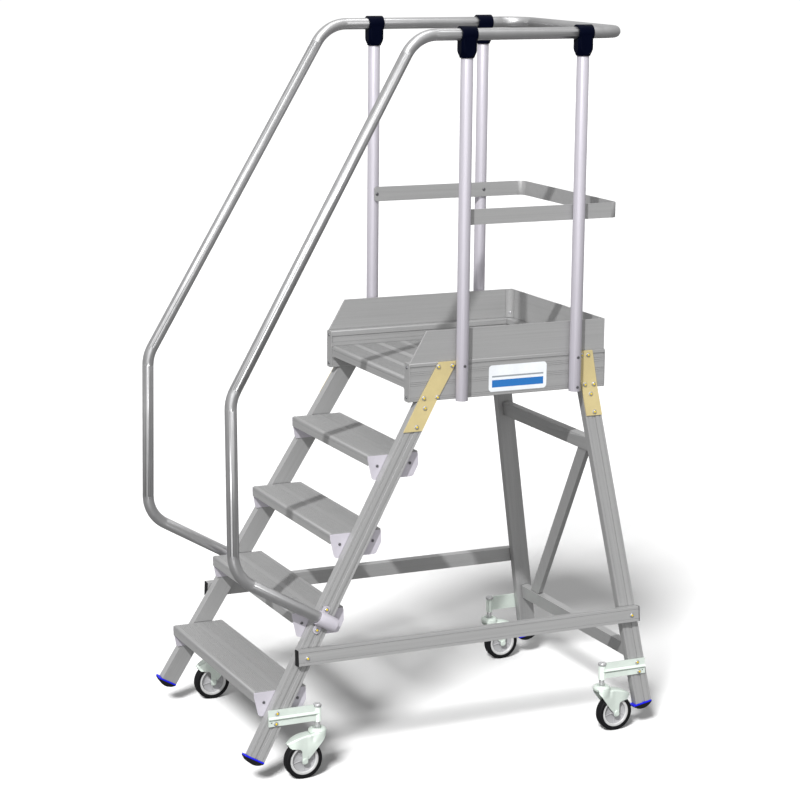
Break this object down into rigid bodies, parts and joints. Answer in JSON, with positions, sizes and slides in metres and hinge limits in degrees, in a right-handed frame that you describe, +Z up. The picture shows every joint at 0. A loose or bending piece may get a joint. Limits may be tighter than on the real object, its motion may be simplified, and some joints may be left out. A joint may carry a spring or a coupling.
{
  "type": "rolling warehouse ladder",
  "caption": "Rolling platform ladder with splayed stair frame, guarded deck, side handrails and sprung swivel casters.",
  "frame": {"origin": "on the floor, at the middle of the overall width and length", "axes": "+Z up, +Y the way a person climbs, +X to the climber's right"},
  "size_m": [0.901, 1.5356, 2.3759],
  "materials": {
    "mill_aluminium": "extruded, fine lines",
    "lilac_coat": "pale anodised, satin",
    "handrail_tube": "drawn tube, satin",
    "tan_plate": "smooth, matt",
    "caster_zinc": "pale zinc, satin",
    "navy_casting": "moulded, fine grain",
    "black_rubber": "matt",
    "blue_plastic": "moulded",
    "black_plastic": "moulded",
    "bolt_steel": "bright zinc",
    "screw_steel": "dark zinc",
    "bolt_gold": "yellow passivated",
    "label_film": "printed film",
    "stem_steel": "bright drawn",
    "spring_steel": "oiled",
    "wheel_plastic": "moulded polyamide",
    "tyre_rubber": "smooth rubber"
  },
  "bodies": {
    "frame": {"stiles": "mill_aluminium", "rear_legs": "mill_aluminium", "foot_soles": "black_rubber", "foot_rims": "blue_plastic", "tread_1": "mill_aluminium", "tread_2": "mill_aluminium", "tread_3": "mill_aluminium", "tread_4": "mill_aluminium", "tread_brackets": "lilac_coat", "deck_planks": "mill_aluminium", "side_profile_left": "mill_aluminium", "side_profile_right": "mill_aluminium", "rear_profile": "mill_aluminium", "profile_end_plates": "mill_aluminium", "toe_board_left": "mill_aluminium", "toe_board_right": "mill_aluminium", "toe_board_rear": "mill_aluminium", "front_posts": "lilac_coat", "rear_posts": "lilac_coat", "rail_clamps": "navy_casting", "handrail_left": "handrail_tube", "handrail_right": "handrail_tube", "handrail_rear": "handrail_tube", "handrail_holders": "lilac_coat", "knee_rail": "handrail_tube", "gusset_plates": "tan_plate", "long_braces": "mill_aluminium", "brace_end_caps": "black_plastic", "rear_brace_upper": "mill_aluminium", "rear_brace_lower": "mill_aluminium", "rear_brace_diagonal": "mill_aluminium", "caster_arms": "caster_zinc", "frame_bolts": "bolt_steel", "bolt_tips": "bolt_gold", "small_screws": "screw_steel", "side_label": "label_film", "front_left_spring": "spring_steel", "front_right_spring": "spring_steel", "rear_left_spring": "spring_steel", "rear_right_spring": "spring_steel"},
    "front_left_slide": {"front_left_stem": "stem_steel"},
    "front_left_swivel": {"front_left_fork": "caster_zinc", "front_left_axle": "bolt_steel"},
    "front_left_roller": {"front_left_wheel": "wheel_plastic", "front_left_tyre": "tyre_rubber"},
    "front_right_slide": {"front_right_stem": "stem_steel"},
    "front_right_swivel": {"front_right_fork": "caster_zinc", "front_right_axle": "bolt_steel"},
    "front_right_roller": {"front_right_wheel": "wheel_plastic", "front_right_tyre": "tyre_rubber"},
    "rear_left_slide": {"rear_left_stem": "stem_steel"},
    "rear_left_swivel": {"rear_left_fork": "caster_zinc", "rear_left_axle": "bolt_steel"},
    "rear_left_roller": {"rear_left_wheel": "wheel_plastic", "rear_left_tyre": "tyre_rubber"},
    "rear_right_slide": {"rear_right_stem": "stem_steel"},
    "rear_right_swivel": {"rear_right_fork": "caster_zinc", "rear_right_axle": "bolt_steel"},
    "rear_right_roller": {"rear_right_wheel": "wheel_plastic", "rear_right_tyre": "tyre_rubber"}
  },
  "joints": [
    {"name": "front_left_spring_travel", "type": "slide", "parent": "frame", "child": "front_left_slide", "axis": [0, 0, 1], "range_m": [0, 0.015], "stiffness_N_per_m": 8000, "springref_m": -0.025, "deforming": ["front_left_spring"]},
    {"name": "front_left_swivel_turn", "type": "hinge", "parent": "front_left_slide", "child": "front_left_swivel", "pos_m": [-0.421, -0.46884, 0.152], "axis": [0, 0, 1], "continuous": true},
    {"name": "front_left_wheel_roll", "type": "hinge", "parent": "front_left_swivel", "child": "front_left_roller", "pos_m": [-0.421, -0.51884, 0.0625], "axis": [1, 0, 0], "continuous": true},
    {"name": "front_right_spring_travel", "type": "slide", "parent": "frame", "child": "front_right_slide", "axis": [0, 0, 1], "range_m": [0, 0.015], "stiffness_N_per_m": 8000, "springref_m": -0.025, "deforming": ["front_right_spring"]},
    {"name": "front_right_swivel_turn", "type": "hinge", "parent": "front_right_slide", "child": "front_right_swivel", "pos_m": [0.421, -0.46884, 0.152], "axis": [0, 0, 1], "continuous": true},
    {"name": "front_right_wheel_roll", "type": "hinge", "parent": "front_right_swivel", "child": "front_right_roller", "pos_m": [0.421, -0.51884, 0.0625], "axis": [1, 0, 0], "continuous": true},
    {"name": "rear_left_spring_travel", "type": "slide", "parent": "frame", "child": "rear_left_slide", "axis": [0, 0, 1], "range_m": [0, 0.015], "stiffness_N_per_m": 8000, "springref_m": -0.025, "deforming": ["rear_left_spring"]},
    {"name": "rear_left_swivel_turn", "type": "hinge", "parent": "rear_left_slide", "child": "rear_left_swivel", "pos_m": [-0.421, 0.57616, 0.152], "axis": [0, 0, 1], "continuous": true},
    {"name": "rear_left_wheel_roll", "type": "hinge", "parent": "rear_left_swivel", "child": "rear_left_roller", "pos_m": [-0.421, 0.62616, 0.0625], "axis": [1, 0, 0], "continuous": true},
    {"name": "rear_right_spring_travel", "type": "slide", "parent": "frame", "child": "rear_right_slide", "axis": [0, 0, 1], "range_m": [0, 0.015], "stiffness_N_per_m": 8000, "springref_m": -0.025, "deforming": ["rear_right_spring"]},
    {"name": "rear_right_swivel_turn", "type": "hinge", "parent": "rear_right_slide", "child": "rear_right_swivel", "pos_m": [0.421, 0.57616, 0.152], "axis": [0, 0, 1], "continuous": true},
    {"name": "rear_right_wheel_roll", "type": "hinge", "parent": "rear_right_swivel", "child": "rear_right_roller", "pos_m": [0.421, 0.62616, 0.0625], "axis": [1, 0, 0], "continuous": true}
  ]
}
